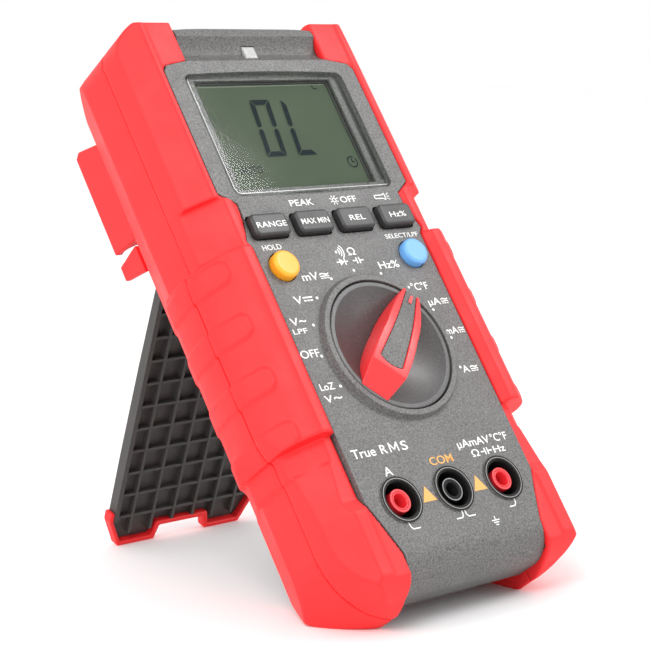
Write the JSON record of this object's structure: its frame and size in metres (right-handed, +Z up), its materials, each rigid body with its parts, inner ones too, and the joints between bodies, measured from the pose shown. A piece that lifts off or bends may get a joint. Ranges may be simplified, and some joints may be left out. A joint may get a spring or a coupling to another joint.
{
  "type": "digital multimeter",
  "caption": "Handheld digital multimeter with a rotary selector, keys, three shrouded sockets and a rubber overmould, leaning back on its fold-out stand.",
  "frame": {"origin": "middle of the footprint on the surface that the meter stands on, halfway between the front-most and rear-most points", "axes": "+Z up, +X to the user's right, face towards -Y and tilted back 34 degrees from upright"},
  "size_m": [0.0938, 0.1368, 0.1581],
  "materials": {
    "face_plastic": "fine speckled grain",
    "case_plastic": "fine grain",
    "overmould": "soft touch",
    "lens_clear": "polished",
    "lcd": "satin",
    "white_plastic": "matte",
    "dark_plastic": "matte",
    "gasket_rubber": "matte",
    "seam_black": "matte",
    "indicator": "frosted",
    "key_rubber": "smooth",
    "hold_yellow": "smooth",
    "select_blue": "smooth",
    "steel": "brushed",
    "dial_plastic": "fine grain",
    "pointer_red": "satin",
    "contact_brass": "turned",
    "jack_black": "moulded",
    "jack_red": "moulded",
    "board_green": "solder mask",
    "fuse_ceramic": "ceramic",
    "protection_blue": "dipped",
    "cell_can": "printed sleeve",
    "stand_plastic": "fine grain"
  },
  "bodies": {
    "case": {"front_case": "face_plastic", "rear_case": "case_plastic", "front_overmould_left": "overmould", "front_overmould_right": "overmould", "rear_overmould": "overmould", "probe_clip_right": "overmould", "probe_clip_left": "overmould", "display_lens": "lens_clear", "lcd_glass": "lcd", "backlight_panel": "white_plastic", "lcd_frame": "dark_plastic", "zebra_strips": "gasket_rubber", "indicator_lens": "indicator", "indicator_led": "white_plastic", "keypad_web": "gasket_rubber", "dome_switches": "steel", "detent_ring": "white_plastic", "dial_seal": "gasket_rubber", "jack_block": "jack_black", "jack_sleeve_amp": "jack_red", "jack_contact_amp": "contact_brass", "jack_sleeve_com": "jack_black", "jack_contact_com": "contact_brass", "jack_sleeve_volt": "jack_red", "jack_contact_volt": "contact_brass", "main_board": "board_green", "board_screws": "steel", "fuse_high_range": "fuse_ceramic", "fuse_low_range": "fuse_ceramic", "fuse_clips": "contact_brass", "current_shunt": "contact_brass", "buzzer": "dark_plastic", "measuring_chips": "dark_plastic", "input_protection": "protection_blue", "battery_cells": "cell_can", "battery_contacts": "steel", "battery_door": "case_plastic", "battery_gasket": "gasket_rubber", "battery_door_screws": "steel", "case_gasket": "seam_black", "case_screws": "steel", "hinge_pins": "steel"},
    "dial": {"dial_disc": "dial_plastic", "dial_pointer": "pointer_red", "dial_insert": "face_plastic", "dial_rotor": "white_plastic", "detent_balls": "steel", "detent_springs": "steel", "rotor_wipers": "contact_brass", "dial_screw": "steel"},
    "range_key": {"key_range": "key_rubber"},
    "peak_key": {"key_peak": "key_rubber"},
    "relative_key": {"key_relative": "key_rubber"},
    "hertz_key": {"key_hertz": "key_rubber"},
    "hold_key": {"hold_button": "hold_yellow"},
    "select_key": {"select_button": "select_blue"},
    "stand": {"tilt_stand": "stand_plastic", "stand_edging": "overmould"}
  },
  "joints": [
    {"name": "dial_turn", "type": "hinge", "parent": "case", "child": "dial", "pos_m": [0, -0.03309, 0.06872], "axis": [0, -0.8271, 0.5621], "range_deg": [-67.5, 157.5]},
    {"name": "stand_fold", "type": "hinge", "parent": "case", "child": "stand", "pos_m": [0, 0.03352, 0.08633], "axis": [1, 0, 0], "range_deg": [-54.13, 0]},
    {"name": "range_press", "type": "slide", "parent": "case", "child": "range_key", "axis": [0, 0.8271, -0.5621], "range_m": [0, 0.001], "stiffness_N_per_m": 1500},
    {"name": "peak_press", "type": "slide", "parent": "case", "child": "peak_key", "axis": [0, 0.8271, -0.5621], "range_m": [0, 0.001], "stiffness_N_per_m": 1500},
    {"name": "relative_press", "type": "slide", "parent": "case", "child": "relative_key", "axis": [0, 0.8271, -0.5621], "range_m": [0, 0.001], "stiffness_N_per_m": 1500},
    {"name": "hertz_press", "type": "slide", "parent": "case", "child": "hertz_key", "axis": [0, 0.8271, -0.5621], "range_m": [0, 0.001], "stiffness_N_per_m": 1500},
    {"name": "hold_press", "type": "slide", "parent": "case", "child": "hold_key", "axis": [0, 0.8271, -0.5621], "range_m": [0, 0.001], "stiffness_N_per_m": 1500},
    {"name": "select_press", "type": "slide", "parent": "case", "child": "select_key", "axis": [0, 0.8271, -0.5621], "range_m": [0, 0.001], "stiffness_N_per_m": 1500}
  ]
}
